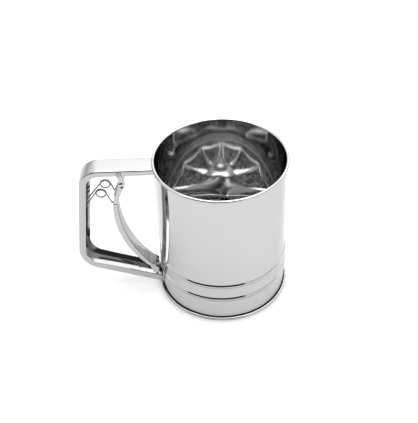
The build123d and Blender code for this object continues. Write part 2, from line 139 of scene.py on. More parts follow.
def tube(points, radius, sides=12):
    """Rows of circles along a line of points, without twist."""
    line = [Vector(p) for p in points]
    rows = []
    across = None
    for i, point in enumerate(line):
        ahead = (line[min(i + 1, len(line) - 1)] - line[max(i - 1, 0)]).normalized()
        if across is None:
            across = ahead.orthogonal().normalized()
        across = (across - ahead * across.dot(ahead)).normalized()
        over = ahead.cross(across)
        angles = [2 * math.pi * k / sides for k in range(sides)]
        rows.append([tuple(point + (across * math.cos(t) + over * math.sin(t)) * radius) for t in angles])
    return rows


def arc_points(centre, radius, start, end, steps):
    """Points of a circular arc in a plane, angles in degrees."""
    angles = [math.radians(start + (end - start) * i / steps) for i in range(steps + 1)]
    return [(centre[0] + radius * math.cos(t), centre[1] + radius * math.sin(t)) for t in angles]


print("a lathe's ring in 12 steps:", len(turned([(10.0, 0.0)], 12)), "rows")
print("a tube through 3 points:", len(tube([(0, 0, 0), (0, 0, 5), (0, 3, 9)], 1.0)), "rows of 12 points")


# %% [markdown]
# ## Holes
# A hole is cut as a drill cuts it: a solid bar is pushed through the sheet, and what it
# covers is taken away. Blender's Boolean modifier does this, and its result is kept as
# plain mesh, so that nothing is left to work out later.


# %% Bars and cutting
def round_hole(centre, radius, steps=24):
    """Outline of a round hole, which doesn't repeat its first point."""
    return arc_points(centre, radius, 0, 360 - 360 / steps, steps - 1)


def bar(outline, start, end, along):
    """Rows of a straight bar: an outline carried along axis 0, 1 or 2."""
    rows = []
    for reach in (start, end):
        row = []
        for place in outline:
            point = list(place)
            point.insert(along, reach)
            row.append(tuple(point))
        rows.append(row)
    return rows


def pierce(made, bars, crease=35):
    """Cuts each bar out of a piece and keeps the result as its mesh."""
    for rows in bars:
        cutter = piece("cutter", [rows], None, made.data.materials[0])
        cut = made.modifiers.new("cut", "BOOLEAN")
        cut.operation = "DIFFERENCE"
        cut.solver = "EXACT"
        cut.use_self = True
        cut.object = cutter
        whole = made.evaluated_get(bpy.context.evaluated_depsgraph_get())
        mesh = bpy.data.meshes.new_from_object(whole)
        made.modifiers.clear()
        made.data = mesh
        bpy.data.objects.remove(cutter)
    smooth_by_angle(made.data, crease)
    print(f"{made.name}: {len(bars)} holes, {len(made.data.polygons)} faces")


drill = bar(round_hole((0, 0), 1.0), 0.0, 5.0, 2)
print("a drill 5 mm long:", len(drill), "rows of", len(drill[0]), "points")


# %% [markdown]
# ## Shader arithmetic
# A material in Blender is a net of nodes. Written as nodes, a formula is hard to
# read, so a small class wraps an output socket and lets Python's own + - * / add the
# Math nodes. Every other kind of node comes from one method, `node`, which sets the
# node's options first and then its inputs.


# %% The socket class
class Signal:
    """An output socket that works in ordinary arithmetic."""

    def __init__(self, finish, socket):
        self.finish = finish
        self.socket = socket

    def _math(self, operation, first, second):
        return self.finish.node("ShaderNodeMath", {"operation": operation}, {0: first, 1: second})
        return self.finish.node("ShaderNodeMath", {"operation": operation}, {0: first, 1: second})

    def __add__(self, other):
        return self._math("ADD", self, other)

    def __sub__(self, other):
        return self._math("SUBTRACT", self, other)

    def __rsub__(self, other):
        return self._math("SUBTRACT", other, self)

    def __mul__(self, other):
        return self._math("MULTIPLY", self, other)

    def __truediv__(self, other):
        return self._math("DIVIDE", self, other)

    def __rtruediv__(self, other):
        return self._math("DIVIDE", other, self)

    __radd__ = __add__
    __rmul__ = __mul__


print("a socket can be added, subtracted, multiplied and divided")

# %% [markdown]
# ## One finish, one net of nodes
# A second small class holds the net of one material or of the world. It could be left
# out and every node made by hand, but then each finish would repeat the same lines.
# `surface` ends a net in the Principled shader, which is the one that suits metal.


# %% The finish class
class Finish:
    """A material or world that is built up from nodes."""

    def __init__(self, owner):
        self.owner = owner
        owner.use_nodes = True
        self.tree = owner.node_tree
        self.tree.nodes.clear()

    def node(self, kind, settings=None, inputs=None, output=0):
        """Makes any node: its settings first, then the values or links of its inputs."""
        made = self.tree.nodes.new(kind)
        for key, value in (settings or {}).items():
            setattr(made, key, value)
        for key, value in (inputs or {}).items():
            if isinstance(value, Signal):
                self.tree.links.new(value.socket, made.inputs[key])
            else:
                made.inputs[key].default_value = value
        return Signal(self, made.outputs[output])

    def place(self):
        """Position on the object, in metres."""
        return self.node("ShaderNodeTexCoord", output="Object")

    def stretched(self, scale):
        """The same position with each axis scaled."""
        return self.node("ShaderNodeMapping", None, {"Vector": self.place(), "Scale": scale})

    def noise(self, scale, detail=2.0, vector=None):
        """Soft random blotches, about 1 / scale metres across."""
        where = vector if vector is not None else self.place()
        return self.node("ShaderNodeTexNoise", None, {"Vector": where, "Scale": scale, "Detail": detail})

    def bump(self, height, distance, strength=1.0):
        """A relief that tilts the light and leaves the shape as it is."""
        inputs = {"Height": height, "Distance": distance, "Strength": strength}
        return self.node("ShaderNodeBump", None, inputs)

    def surface(self, **inputs):
        """Ends the net in a Principled shader and returns the finished material."""
        names = {key.replace("_", " ").title(): value for key, value in inputs.items()}
        shader = self.node("ShaderNodeBsdfPrincipled", None, names)
        self.node_output(shader)
        return self.owner

    def node_output(self, shader):
        """Joins the last shader to the output of the material or the world."""
        owner_kind = "World" if isinstance(self.owner, bpy.types.World) else "Material"
        end = self.tree.nodes.new("ShaderNodeOutput" + owner_kind)
        self.tree.links.new(shader.socket, end.inputs["Surface"])


def new_finish(name):
    """An empty material, ready for its nodes."""
    return Finish(bpy.data.materials.new(name))


trial = new_finish("trial")
trial_mask = 1 - trial.noise(10.0) * 0.5
print("1 - noise * 0.5:", len(trial.tree.nodes), "nodes, the last:", trial_mask.socket.node.operation)
bpy.data.materials.remove(trial.owner)


# %% [markdown]
# ## Polished steel
# The cup is drawn from mirror-polished sheet. A perfect mirror looks like a computer
# drawing, so three faint things are added. Slow ripples from rolling and bending make
# reflections wander. Fine polishing lines come from noise that is squeezed along some
# axes and stretched along the others. A patchy roughness stands for handling. All
# three are tiny: they change the reflections and not the shape. The edge tint makes
# the steel a little darker where it is seen at a flat angle.


# %% Polished steel
STEEL_GREY = (0.505, 0.505, 0.508, 1.0)
RIPPLE_DEPTH = 0.00004
STREAK_RELIEF = 0.15
HANDLING_ROUGHNESS, STREAK_ROUGHNESS = 0.05, 0.03


def polished_steel(name, colour, rough, lines, ripple, edge=1.0):
    """Steel with fine polishing lines, a slow ripple and a tint for flat angles."""
    steel = new_finish(name)
    handling = steel.noise(scale=38.0, detail=3.0)
    streaks = steel.noise(scale=60.0, detail=4.0, vector=steel.stretched(lines))
    ripples = steel.noise(scale=22.0, detail=1.0)
    relief = streaks * STREAK_RELIEF + ripples * ripple
    roughness = rough + (handling - 0.5) * HANDLING_ROUGHNESS + (streaks - 0.5) * STREAK_ROUGHNESS
    return steel.surface(
        base_color=colour, metallic=1.0, roughness=roughness, normal=steel.bump(relief, RIPPLE_DEPTH),
        specular_tint=(edge, edge, edge, 1.0),
    )


cup_steel = polished_steel(
    "cup_steel", STEEL_GREY, rough=0.065, lines=(0.4, 0.4, 30.0), ripple=1.0, edge=0.84,
)
channel_steel = polished_steel(
    "channel_steel", (0.44, 0.44, 0.443, 1.0), rough=0.10, lines=(3.0, 20.0, 3.0), ripple=1.0, edge=0.85,
)
trigger_steel = polished_steel(
    "trigger_steel", (0.48, 0.48, 0.482, 1.0), rough=0.20, lines=(20.0, 20.0, 3.0), ripple=0.8, edge=0.64,
)
wheel_steel = polished_steel(
    "wheel_steel", (0.78, 0.78, 0.765, 1.0), rough=0.20, lines=(8.0, 8.0, 8.0), ripple=2.2,
)
print("polished steels:", [m.name for m in (cup_steel, channel_steel, trigger_steel, wheel_steel)])

# %% [markdown]
# ## Wire of the cloth
# The wires of the cloth are thin, so each one glints at some spots and is nearly black
# at others. Real glints come from tiny bends that would need far more points. A noise
# that is pushed hard towards its two ends paints these glints and dark spots into the
# colour of simple wires.

# %% Wire of the cloth
# Painted highlights and shade: the wire's colour swings between dark and bright spots.
DULL, GLINTING = 0.08, 0.95
cloth = new_finish("mesh_wire")
glint = cloth.noise(scale=560.0, detail=1.0)
glint_tone = cloth.node(
    "ShaderNodeMapRange", None,
    {"Value": glint, "From Min": 0.45, "From Max": 0.58, "To Min": DULL, "To Max": GLINTING},
)
mesh_wire = cloth.surface(base_color=glint_tone, metallic=1.0, roughness=0.33 + (glint - 0.5) * 0.1)
print("wire of the cloth:", mesh_wire.name)

# %% [markdown]
# ## Drawn wire, turned fittings and brass
# Drawn wire is a little darker than sheet. The washers, nuts and pins are turned and
# tumbled, so they are rougher, with blotches where the tumbling media struck. Two dark
# finishes are painted shade: one on the narrow edges of the trigger's ears, one in the
# slots of its near ear. The bush is plain bearing brass, duller where grease has stained
# it. They differ only in tone, roughness and grain, so one function makes them all.


# %% Wire, fittings and brass
FINE_GRAIN, COARSE_GRAIN = 0.00001, 0.00002
BLOTCH_ROUGHNESS = 0.2


def worked_metal(name, colour, stain, rough, grain=COARSE_GRAIN):
    """Metal whose colour wanders towards a stain, with small blotches in its gloss."""
    metal = new_finish(name)
    blotch = metal.noise(scale=900.0, detail=3.0)
    smear = metal.noise(scale=160.0, detail=2.0)
    shade = metal.node(
        "ShaderNodeMix", {"data_type": "RGBA"}, {0: smear, 6: colour, 7: stain}, output=2
    )
    roughness = rough + (blotch - 0.5) * BLOTCH_ROUGHNESS
    relief = metal.bump(blotch, grain)
    return metal.surface(base_color=shade, metallic=1.0, roughness=roughness, normal=relief)


spring_wire = worked_metal(
    "spring_wire", (0.30, 0.30, 0.305, 1.0), (0.21, 0.21, 0.215, 1.0), rough=0.2, grain=FINE_GRAIN,
)
fitting_steel = worked_metal("fitting_steel", (0.66, 0.66, 0.665, 1.0), (0.5, 0.5, 0.505, 1.0), rough=0.22)
nut_steel = worked_metal("nut_steel", (0.88, 0.88, 0.88, 1.0), (0.72, 0.72, 0.72, 1.0), rough=0.36)
worn_steel = worked_metal("worn_steel", (0.4, 0.4, 0.4, 1.0), (0.26, 0.26, 0.26, 1.0), rough=0.25)
# Painted shade: a dark finish for the trigger ears' narrow edges.
painted_edge_shade = worked_metal("painted_edge_shade", (0.16, 0.16, 0.16, 1.0), (0.1, 0.1, 0.1, 1.0), rough=0.45)
# Painted shade: a near-black finish for the insides of the ear's slots.
painted_slot_shade = worked_metal(
    "painted_slot_shade", (0.02, 0.02, 0.02, 1.0), (0.01, 0.01, 0.01, 1.0), rough=0.6, grain=FINE_GRAIN,
)
bush_brass = worked_metal("bush_brass", (0.5, 0.43, 0.29, 1.0), (0.3, 0.26, 0.19, 1.0), rough=0.3)
worked_metals = (spring_wire, fitting_steel, nut_steel, worn_steel, painted_edge_shade, painted_slot_shade, bush_brass)
print("worked metals:", [m.name for m in worked_metals])

# %% [markdown]
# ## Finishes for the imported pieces
# Many small pieces have the right shape already, because they are simple turned or
# bent parts. They could be modelled again, but nothing would be gained. They keep
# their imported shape, and only their material is changed.

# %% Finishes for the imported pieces
CAD_FINISHES = {
    "screen_hoop": channel_steel, "clamp_hoop": nut_steel, "support_strap": channel_steel,
    "crank_arm": channel_steel, "shaft_bush": bush_brass, "link_rod": spring_wire,
    "screen_eyelet": fitting_steel, "agitator_shaft": fitting_steel, "hub_washer": worn_steel,
    "spacer_washer": fitting_steel, "shaft_nut": fitting_steel,
    "crank_pin": fitting_steel, "pin_clip": fitting_steel, "rod_eyelet": fitting_steel,
    "trigger_pin": worn_steel, "pivot_washers": worn_steel,
}
for node_name, metal in CAD_FINISHES.items():
    for material_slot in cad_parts[node_name].material_slots:
        material_slot.material = metal
print("packed pieces finished:", len(CAD_FINISHES))

# %% [markdown]
# ## The cup
# The cup is a tube of thin sheet. Its edges are rolled outwards for strength and so
# that they don't cut, and two beads are pressed into it near the bottom. It is one
# section turned round the axis. The beads follow a cosine, because sheet that is
# pressed between rollers comes out with soft shoulders and no corners.

# %% Cup section
WALL_OUT = 50.0
SHEET = 0.5
WALL_IN = WALL_OUT - SHEET
CUP_HEIGHT = float(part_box("cup_body")[1][2]) / MM
ROLL = 1.2
ROLL_CENTRE = WALL_IN + ROLL
ROLL_FLAT = 0.15
RIM_LEVEL = CUP_HEIGHT - ROLL
BASE_LEVEL = ROLL - ROLL_FLAT
BEADS = (22.2, 35.8)
BEAD_HALF = 2.35
BEAD_PROUD = 0.98
BEAD_STEPS = 14
ROUND = 360


def bead_swell(height):
    """How far the wall stands out at a height."""
    for level in BEADS:
        if abs(height - level) < BEAD_HALF:
            return BEAD_PROUD * (1 + math.cos(math.pi * (height - level) / BEAD_HALF)) / 2
    return 0.0


levels = {0.0, 2.0, 8.0, 15.0, 29.0, 45.0, 60.0, 80.0, 100.0, RIM_LEVEL}
for level in BEADS:
    levels.update(level + BEAD_HALF * i / BEAD_STEPS for i in range(-BEAD_STEPS, BEAD_STEPS + 1))
levels = sorted(levels)
wall_section = [(WALL_OUT + bead_swell(z), z) for z in levels]
wall_section += [(WALL_IN + bead_swell(z), z) for z in reversed(levels)]
cup = piece("cup", [turned(wall_section, ROUND)], "cup", cup_steel, closed_path=True, crease=50)
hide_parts("cup_body")

# %% [markdown]
# ## The rod's hole in the wall
# The rod from the trigger enters the cup through a hole on the handle's side. A bar
# that runs through the wall along the first axis cuts it. The same bar cuts the side
# seam later, so that the two holes are in line.

# %% The rod's hole
ROD_LEVEL, ROD_HOLE = 15.2, 2.1
DRILL_REACH = 4
rod_bore = bar(round_hole((0, ROD_LEVEL), ROD_HOLE), -WALL_OUT - DRILL_REACH, -WALL_OUT + DRILL_REACH, 0)
pierce(cup, [rod_bore], 50)

# %% [markdown]
# ## The rolled edges
# Each roll is the sheet's edge curled round into a bead about as thick as a
# match. The wall's sheet is cut from a strip, so at the side seam the rim roll has a
# narrow butt gap. A ring that stops just short of a full turn gives that gap. The
# base roll is pressed flat underneath, because the cup stands on it.

# %% Rim and base rolls
SEAM_ANGLE = 180.0
GAP_DEGREES = 0.55
ROLL_HOLLOW = 0.75
HOLLOW_SHARE = 0.97
ROLL_STEPS = 36
RIM_SLIT, BASE_SLIT = 0.34, 0.85
# Painted shade: the hollow inside each curl gets a dark finish, where little light reaches.
shaded = new_finish("crease")
crease_shade_tone = shaded.noise(scale=300.0, detail=2.0) * 0.06 + 0.07
painted_crease_shade = shaded.surface(base_color=crease_shade_tone, roughness=0.7)


def rolled_section(level, towards, slit):
    """The curled sheet of a rolled edge: a ring with a slit next to the wall."""
    slit_at = math.degrees(math.acos((WALL_OUT + slit - ROLL_CENTRE) / ROLL))
    shell = arc_points((ROLL_CENTRE, 0), ROLL, 180, -slit_at, ROLL_STEPS)
    hollow = arc_points((ROLL_CENTRE, 0), ROLL_HOLLOW, -slit_at, 180, ROLL_STEPS)
    return [(r, max(level - towards * z, 0.0)) for r, z in shell + hollow]


def paint_hollow_shade(roll, level):
    """Gives the inside of a curl a dark finish: painted shade in the hollow."""
    roll.data.materials.append(painted_crease_shade)
    middle = (ROLL + ROLL_HOLLOW) / 2 * MM
    for face in roll.data.polygons:
        x, y, z = face.center
        if math.hypot(math.hypot(x, y) - ROLL_CENTRE * MM, z - level * MM) < middle * HOLLOW_SHARE:
            face.material_index = 1


rim_section = rolled_section(RIM_LEVEL, -1, RIM_SLIT)
rim_rows = turned(rim_section, ROUND, SEAM_ANGLE + GAP_DEGREES / 2, 360 - GAP_DEGREES)
rim_roll = piece("rim_roll", [rim_rows], "cup", cup_steel)
paint_hollow_shade(rim_roll, RIM_LEVEL)
base_rows = turned(rolled_section(BASE_LEVEL, 1, BASE_SLIT), ROUND)
base_roll = piece("base_roll", [base_rows], "cup", cup_steel, closed_path=True)
paint_hollow_shade(base_roll, BASE_LEVEL)

# %% [markdown]
# ## The side seam
# The strip's two ends lap over each other in a seam that the handle hides from most
# sides. It could be a step in the cup's own section, but a section that is turned is
# the same all round. So it is a thin plate that follows the wall.

# %% Side seam
SEAM_HALF = 2.5
SEAM_PROUD = 0.4
SEAM_SUNK = 0.1
SEAM_LOW, SEAM_TOP = 2.6, 120.4


def wall_plate(low, top, from_y, to_y, inner, outer, steps=6):
    """Rows of a thin plate that lies on the cup's wall on the handle's side."""
    rows = []
    for i in range(steps + 1):
        y = from_y + (to_y - from_y) * i / steps
        section = []
        for radius, z in ((inner, low), (outer, low), (outer, top), (inner, top)):
            section.append((-math.sqrt(radius**2 - y**2), y, z))
        rows.append(section)
    return rows


seam_inner, seam_outer = WALL_OUT - SEAM_SUNK, WALL_OUT + SEAM_PROUD
seam_rows = wall_plate(SEAM_LOW, SEAM_TOP, -SEAM_HALF, SEAM_HALF, seam_inner, seam_outer)
side_seam = piece("side_seam", [seam_rows], "cup", cup_steel, crease=30)
pierce(side_seam, [rod_bore], 30)

# %% [markdown]
# ## The mesh
# Sieve cloth is woven: each wire goes over one crossing wire and under the next. The
# height of a wire is a cosine along its length, and its neighbour's cosine is half a
# wave behind. The cloth is clipped to a circle and lifted into a shallow dome. Real
# geometry is worth it here, because light falls through the holes.

# %% Woven mesh
CLOTH_R = 48.6
DOME_R = 46.0
CLOTH_LEVEL = 31.3
DOME_RISE = 1.6
EYELET_R = 4.0
PITCH = 2.2
CLOTH_WIRE = 0.28


def cloth_height(x, y):
    """Height of the cloth's middle surface."""
    reach = min(math.hypot(x, y) / DOME_R, 1.0)
    return CLOTH_LEVEL + DOME_RISE * (1 - reach**2)


def cloth_wire(offset, row, along_x):
    """Points of one woven wire, in one or two stretches round the eyelet."""
    half = math.sqrt(max(CLOTH_R**2 - offset**2, 0.0))
    count = int(2 * half / (PITCH / 2))
    stretches, points = [], []
    for i in range(-count // 2, count // 2 + 1):
        along = i * PITCH / 2
        x, y = (along, offset) if along_x else (offset, along)
        if math.hypot(x, y) > CLOTH_R or math.hypot(x, y) < EYELET_R:
            if len(points) > 2:
                stretches.append(points)
            points = []
            continue
        phase = math.pi * (i / 2 + row + (0 if along_x else 1))
        points.append((x, y, cloth_height(x, y) + CLOTH_WIRE * math.cos(phase)))
    if len(points) > 2:
        stretches.append(points)
    return stretches


cloth_rows = []
wires = int(CLOTH_R / PITCH)
for row in range(-wires, wires + 1):
    for along_x in (True, False):
        for stretch in cloth_wire(row * PITCH, row, along_x):
            cloth_rows.append(tube(stretch, CLOTH_WIRE, sides=5))
print("stretches of wire:", len(cloth_rows))
mesh_cloth = piece("mesh_cloth", cloth_rows, "cup", mesh_wire, crease=80)
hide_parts("mesh_screen")

# %% [markdown]
# ## The agitator wheel
# The wheel is pressed from one sheet: a raised hub, six arms with a ridge along the
# middle, and a rim that hangs in scallops between the arms' tips. The ridges make it
# stiff, and they are what catches the light. Each arm and each scallop is a low
# ridged strip, and the hub is turned.

# %% Ridged strips
WHEEL_LEVEL = float(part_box("agitator_wheel")[0][2]) / MM
WHEEL_TIP = 40.3
ARMS = 6
FIRST_ARM = -95.4
RIDGE = 2.4
RIDGE_SHAPE = [(k / 8, 1 - abs(k / 8) ** 1.35) for k in range(-8, 9)]


def ridged_row(point, across, half, height):
    """One cross-section of a ridged strip."""
    row = []
    for side, rise in RIDGE_SHAPE:
        spot = Vector(point) + across * (side * half)
        row.append((spot.x, spot.y, WHEEL_LEVEL + rise * height))
    return row


print("points across a ridged strip:", len(RIDGE_SHAPE))

# %% Arms and scallops
STRIP_STEPS = 24
ARM_ROOT = 5.0
ARM_HALF, ROOT_FLARE, FLARE_FADE = 3.0, 1.5, 9.0
ARM_RISE = ([5, 9, 11, 14, 30, 40], [1.0, 1.5, 2.0, RIDGE, RIDGE, 1.9])
TIP_WIDTH, TIP_RISE = 0.6, 0.4
TIP_INSET, SCALLOP_INSET = 1.0, 5.9
SCALLOP_HALF = 1.7
SCALLOP_RISE = RIDGE * 0.66


def arm_strip(angle):
    """An arm: it flares at the hub and is eased down at its tip."""
    outward = Vector((math.cos(angle), math.sin(angle), 0))
    across = Vector((-outward.y, outward.x, 0))
    strip = []
    for i in range(STRIP_STEPS + 1):
        radius = ARM_ROOT + (WHEEL_TIP - ARM_ROOT) * i / STRIP_STEPS
        half = ARM_HALF + ROOT_FLARE * math.exp(-(radius - ARM_ROOT) / FLARE_FADE)
        height = float(np.interp(radius, *ARM_RISE))
        if i == STRIP_STEPS:
            half, height = half * TIP_WIDTH, height * TIP_RISE
        strip.append(ridged_row(outward * radius, across, half, height))
    return strip


def scallop_strip(angle):
    """The rim from one tip to the next: part of a circle through three points."""
    half_step = math.pi / ARMS
    tip, middle = WHEEL_TIP - TIP_INSET, WHEEL_TIP - SCALLOP_INSET
    chord = tip * math.sin(half_step)
    sag = tip * math.cos(half_step) - middle
    bend = (chord**2 + sag**2) / (2 * sag)
    hub_side = angle + half_step
    centre = Vector((math.cos(hub_side), math.sin(hub_side), 0)) * (middle + bend)
    half_sweep = math.asin(chord / bend)
    strip = []
    for i in range(STRIP_STEPS + 1):
        heading = hub_side + math.pi + half_sweep * (1 - 2 * i / STRIP_STEPS)
        away = Vector((math.cos(heading), math.sin(heading), 0))
        strip.append(ridged_row(centre + away * bend, away, SCALLOP_HALF, SCALLOP_RISE))
    return strip


wheel_rows = []
for arm in range(ARMS):
    arm_angle = math.radians(FIRST_ARM + arm * 360 / ARMS)
    wheel_rows += [arm_strip(arm_angle), scallop_strip(arm_angle)]
print("strips of the wheel:", len(wheel_rows))

# %% Hub and wheel
HUB_SECTION = [
    (2.5, 0.0), (12.6, 0.0), (12.4, 0.35), (11.0, 1.0), (9.5, 1.72), (8.2, 2.3), (7.2, 2.56),
    (6.2, 2.6), (2.5, 2.6),
]
HUB_STEPS = 72
hub_rows = turned([(r, WHEEL_LEVEL + z) for r, z in HUB_SECTION], HUB_STEPS)
hub_rows.append(hub_rows[0])
wheel = piece("wheel", wheel_rows + [hub_rows], "agitator", wheel_steel, crease=60)
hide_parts("agitator_wheel")

# %% [markdown]
# ## The dome nut
# A domed nut closes the shaft's upper end, so that flour doesn't pack into a thread.
# It is turned from bar: a short straight skirt with a quarter of an ellipse on top.

# %% Dome nut
NUT_LOW, NUT_TOP = (float(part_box("dome_nut")[end][2]) / MM for end in (0, 1))
NUT_R = 4.3
NUT_EYE = 0.05
SKIRT_SHARE = 0.3
DOME_STEPS, NUT_STEPS = 8, 36
skirt = NUT_LOW + (NUT_TOP - NUT_LOW) * SKIRT_SHARE
nut_section = [(NUT_EYE, NUT_LOW), (NUT_R, NUT_LOW)]
for step in range(DOME_STEPS + 1):
    climb = math.pi / 2 * step / DOME_STEPS
    dome_r = max(NUT_R * math.cos(climb), NUT_EYE)
    nut_section.append((dome_r, skirt + (NUT_TOP - skirt) * math.sin(climb)))
nut_rows = turned(nut_section, NUT_STEPS)
nut = piece("nut", [nut_rows], "agitator", nut_steel, closed_path=True, crease=40)
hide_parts("dome_nut")

# %% [markdown]
# ## The handle's line
# The handle is a strip of sheet pressed into a channel, with its web outside and its
# two flanges turned into the loop, and then bent round two corners. Its line is three
# straight runs joined by two arcs. A free curve could follow it too, but runs and arcs
# are what a bending tool makes.

# %% Handle line
TOP_CORNER = (-106.0, 119.5)
FOOT_CORNER = (-116.6, 25.5)
TOP_BEND, FOOT_BEND = 15.3, 20.0
ARM_TOP_END = (-48.0, 119.5)
ARM_FOOT_END = (-48.0, 2.3)
RUN_SPACING = 6.0
CORNER_STEPS = 18


def straight(start, end, spacing):
    """Points along one straight run."""
    steps = max(1, round((end - start).length / spacing))
    ahead = (end - start).normalized()
    return [(start.lerp(end, k / steps), ahead) for k in range(steps + 1)]


def filleted(points, radii, spacing):
    """Points along straight runs joined by arcs, each with its direction of travel."""
    corners = [Vector((x, z)) for x, z in points]
    line = []
    start = corners[0]
    for i, radius in enumerate(radii):
        before = (corners[i + 1] - corners[i]).normalized()
        after = (corners[i + 2] - corners[i + 1]).normalized()
        turn = before.angle(after)
        setback = radius * math.tan(turn / 2)
        arc_start = corners[i + 1] - before * setback
        arc_end = corners[i + 1] + after * setback
        line += straight(start, arc_start, spacing)
        side = 1 if before.x * after.y - before.y * after.x > 0 else -1
        normal = Vector((-before.y, before.x)) * side
        centre = arc_start + normal * radius
        for k in range(1, CORNER_STEPS):
            bend = Matrix.Rotation(side * turn * k / CORNER_STEPS, 2)
            line.append((centre + bend @ (arc_start - centre), bend @ before))
        start = arc_end
    line += straight(start, corners[-1], spacing)
    return line


handle_corners = [ARM_TOP_END, TOP_CORNER, FOOT_CORNER, ARM_FOOT_END]
handle_line = filleted(handle_corners, [TOP_BEND, FOOT_BEND], RUN_SPACING)
print("handle line points:", len(handle_line))

# %% [markdown]
# ## The channel's section
# Pressed sheet can't have sharp corners: it is bent round a tool, so the outside of a
# bend is rounder than its inside. The section is drawn once as a closed outline, and
# both the handle and the trigger use it with their own width, depth and sheet.


# %% The U section
def quarter(steps=5):
    """Angles of a quarter turn."""
    return [math.pi / 2 * i / steps for i in range(steps + 1)]


def channel_section(half, depth, sheet, bend):
    """Closed outline of a U channel: across the web, and inwards along the flanges."""
    lip = 0.15
    outer = [(-half + lip, depth), (-half, depth - lip)]
    outer += [(-half + bend - bend * math.cos(t), bend - bend * math.sin(t)) for t in quarter()]
    outer += [(half - bend + bend * math.sin(t), bend - bend * math.cos(t)) for t in quarter()]
    outer += [(half, depth - lip), (half - lip, depth)]
    small = max(bend - sheet, 0.2)
    inset = half - sheet
    inner = [(inset + lip, depth), (inset, depth - lip)]
    inner += [(inset - small + small * math.cos(t), sheet + small - small * math.sin(t)) for t in quarter()]
    inner += [(-inset + small - small * math.sin(t), sheet + small - small * math.cos(t)) for t in quarter()]
    inner += [(-inset, depth - lip), (-inset - lip, depth)]
    return outer + inner


print("points round a channel's section:", len(channel_section(8.0, 5.0, 0.8, 1.3)))

# %% [markdown]
# ## The handle channel
# At each point of the line stands the same U section, and only the depth of the
# flanges changes along it. The depths are given at a few places, as shares of the
# whole length, and interpolated between them. The ends are trimmed to the cup's wall.

# %% Handle channel
HANDLE_HALF = 8.25
HANDLE_SHEET = 0.8
BEND = 1.3
DEPTHS = [
    (0.0, 4.9), (0.19, 4.9), (0.30, 5.7), (0.55, 5.5), (0.70, 5.4), (0.78, 6.4), (0.93, 6.4), (1.0, 6.0),
]
FAR_DEPTHS = [
    (0.0, 4.9), (0.19, 4.9), (0.31, 7.6), (0.58, 7.8), (0.70, 7.2), (0.80, 6.4), (0.93, 6.2), (1.0, 5.6),
]
FREE_EDGE = 0.5
TRIM_R = WALL_OUT + 0.05


def trimmed(point, ahead):
    """Moves a point back along the channel until it clears the cup's wall."""
    x, y, z = point
    if math.hypot(x, y) >= TRIM_R:
        return point
    wanted = -math.sqrt(TRIM_R**2 - y**2)
    return (wanted, y, z + (wanted - x) * ahead.y / ahead.x)


travel = [0.0]
for (here, _), (there, _) in zip(handle_line, handle_line[1:]):
    travel.append(travel[-1] + (there - here).length)
handle_rows = []
for (spot, ahead), distance in zip(handle_line, travel):
    near_depth = float(np.interp(distance / travel[-1], *zip(*DEPTHS)))
    far_depth = float(np.interp(distance / travel[-1], *zip(*FAR_DEPTHS)))
    inward = Vector((-ahead.y, ahead.x))
    row = []
    for across, deep in channel_section(HANDLE_HALF, near_depth, HANDLE_SHEET, BEND):
        if across > 0 and deep > near_depth - FREE_EDGE:
            deep += far_depth - near_depth
        flat = spot + inward * deep
        row.append(trimmed((flat.x, across, flat.y), ahead))
    handle_rows.append(row)
handle = piece("handle", [handle_rows], "cup", channel_steel, crease=40)
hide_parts("handle_channel")

# %% [markdown]
# ## The slot in the lower arm
# The tip of the rod's hook travels through the web of the lower arm, so the web has a
# long slot there. Its outline is two half circles joined by straight sides.

# %% Slot in the lower arm
SLOT_NEAR, SLOT_FAR, SLOT_R = -55.0, -67.0, 2.6
SLOT_LOW, SLOT_HIGH = 0.5, 14.0
near_end = arc_points((SLOT_NEAR, 0), SLOT_R, -90, 90, 10)
far_end = arc_points((SLOT_FAR, 0), SLOT_R, 90, 270, 10)
pierce(handle, [bar(near_end + far_end, SLOT_LOW, SLOT_HIGH, 2)], 40)

# %% [markdown]
# ## Handle ears
# The channel's ends are spread into small ears that follow the wall, and the ears are
# spot-welded to it. Four short plates bent to the wall's radius stand for them.

# %% Ears
EAR_SHEET = 0.8
EAR_INNER, EAR_OUTER = HANDLE_HALF - 1.2, HANDLE_HALF + 2.0
EAR_LEVELS = ((3.6, 10.5), (113.2, 119.5))
ear_rows = []
for low, top in EAR_LEVELS:
    for side in (-1, 1):
        from_y, to_y = side * EAR_INNER, side * EAR_OUTER
        ear_rows.append(wall_plate(low, top, from_y, to_y, TRIM_R, TRIM_R + EAR_SHEET, 4))
ears = piece("handle_ears", ear_rows, "cup", channel_steel, crease=30)

# %% [markdown]
# ## The trigger
# The trigger is a second, narrower channel, bent to one long arc so that it fits the
# fingers. Its web faces the cup. Its flanges get shallower towards the foot and carry
# on above the web as two ears with the pivot hole. Two circles describe it: one for
# the web and one for the flanges' free edges.

# %% Trigger channel
WEB_CENTRE, WEB_R = Vector((10.7, 81.6)), 90.4
EDGE_CENTRE, EDGE_R = Vector((-1.5, 78.3)), 82.3
TRIGGER_SHEET, TRIGGER_BEND = 0.7, 0.9
TRIGGER_TOP_HALF, TRIGGER_FOOT_HALF = 6.25, 7.0
WIDE_TO, NARROW_FROM = 20, 70
WEB_TOP, WEB_FOOT = 99.0, 19.4
FLANGE_TAPER = ([84, 87, 92, 97, 99], [5.0, 3.6, 2.8, 1.3, 1.0])
TRIGGER_STEPS = 40


def web_x(height):
    """Where the web's face towards the cup lies at a height."""
    return WEB_CENTRE.x - math.sqrt(WEB_R**2 - (height - WEB_CENTRE.y) ** 2)


def trigger_half(height):
    """Half the trigger's width at a height."""
    return float(np.interp(height, [WIDE_TO, NARROW_FROM], [TRIGGER_FOOT_HALF, TRIGGER_TOP_HALF]))


def flange_depth(outward, height):
    """Distance from the web to the free edges, which draw in towards the pivot ears."""
    offset = WEB_CENTRE - EDGE_CENTRE
    along = offset.dot(outward)
    full = -along + math.sqrt(along**2 - offset.length_squared + EDGE_R**2) - WEB_R
    return min(full, float(np.interp(height, *FLANGE_TAPER)))


